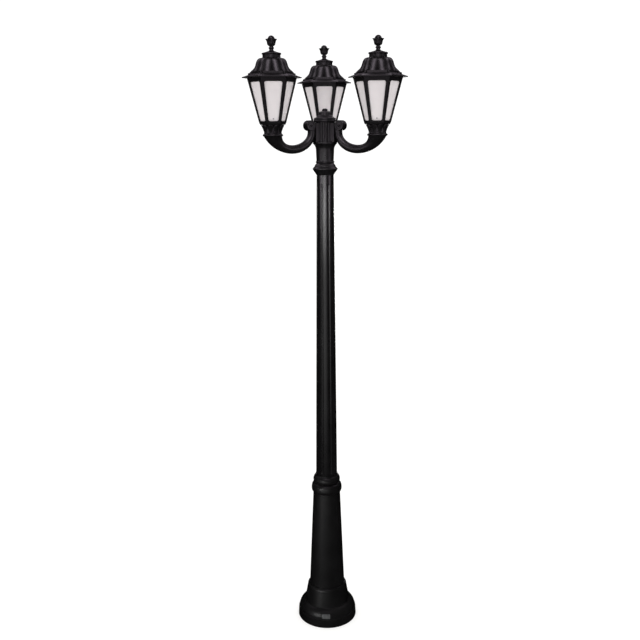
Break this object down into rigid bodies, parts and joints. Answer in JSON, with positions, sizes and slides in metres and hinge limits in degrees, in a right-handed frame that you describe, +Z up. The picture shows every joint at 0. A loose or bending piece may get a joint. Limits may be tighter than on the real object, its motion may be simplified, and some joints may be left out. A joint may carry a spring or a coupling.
{
  "type": "lamp post",
  "caption": "Garden lamp post: a bell-shaped foot, a fluted tapering shaft and horn arms that hold six-sided lanterns with opal panes and lift-off ogee roofs.",
  "frame": {"origin": "centre of the cable hole in the ground flange's underside, on the ground", "axes": "+Z up the post, +Y towards the rear arm and away from the viewer, +X to the viewer's right"},
  "size_m": [0.6492, 0.5701, 2.58],
  "materials": {
    "black": "satin black resin, moulded",
    "steel": "galvanised",
    "screw": "black oxide",
    "opal": "opal, satin",
    "seal": "matt",
    "block": "moulded",
    "holder": "glazed porcelain",
    "lamp_metal": "rolled thread",
    "lamp_glass": "opal glass"
  },
  "bodies": {
    "post": {"ground_flange": "steel", "core_tube": "steel", "base_bell": "black", "plinth_column": "black", "plinth_rings": "black", "shaft": "black", "shaft_collar": "black", "hub_sleeve": "black", "hub_drum": "black", "hub_cap": "black", "hub_finial": "black", "terminal_block": "block", "sleeve_set_screws": "screw", "drum_screws": "screw", "arm_screws": "screw", "lantern_set_screws": "screw", "arm_rear": "black", "arm_left": "black", "arm_right": "black", "seat_ring_rear": "black", "seat_ring_left": "black", "seat_ring_right": "black", "cup_rear": "black", "cup_left": "black", "cup_right": "black", "cage_rear": "black", "cage_left": "black", "cage_right": "black", "diffuser_rear": "opal", "diffuser_left": "opal", "diffuser_right": "opal", "gasket_rear": "seal", "gasket_left": "seal", "gasket_right": "seal", "lampholder_rear": "holder", "lampholder_left": "holder", "lampholder_right": "holder"},
    "roof_rear": {"roof_rear": "black", "roof_cap_rear": "black", "finial_rear": "black"},
    "roof_left": {"roof_left": "black", "roof_cap_left": "black", "finial_left": "black"},
    "roof_right": {"roof_right": "black", "roof_cap_right": "black", "finial_right": "black"},
    "lamp_rear": {"lamp_cap_rear": "lamp_metal", "lamp_globe_rear": "lamp_glass"},
    "lamp_left": {"lamp_cap_left": "lamp_metal", "lamp_globe_left": "lamp_glass"},
    "lamp_right": {"lamp_cap_right": "lamp_metal", "lamp_globe_right": "lamp_glass"}
  },
  "joints": [
    {"name": "roof_lift_rear", "type": "slide", "parent": "post", "child": "roof_rear", "axis": [0, 0, 1], "range_m": [0, 0.15]},
    {"name": "roof_lift_left", "type": "slide", "parent": "post", "child": "roof_left", "axis": [0, 0, 1], "range_m": [0, 0.15]},
    {"name": "roof_lift_right", "type": "slide", "parent": "post", "child": "roof_right", "axis": [0, 0, 1], "range_m": [0, 0.15]},
    {"name": "lamp_turn_rear", "type": "hinge", "parent": "post", "child": "lamp_rear", "pos_m": [0, 0.24, 2.26], "axis": [0, 0, 1], "continuous": true},
    {"name": "lamp_turn_left", "type": "hinge", "parent": "post", "child": "lamp_left", "pos_m": [-0.20785, -0.12, 2.26], "axis": [0, 0, 1], "continuous": true},
    {"name": "lamp_turn_right", "type": "hinge", "parent": "post", "child": "lamp_right", "pos_m": [0.20785, -0.12, 2.26], "axis": [0, 0, 1], "continuous": true}
  ]
}
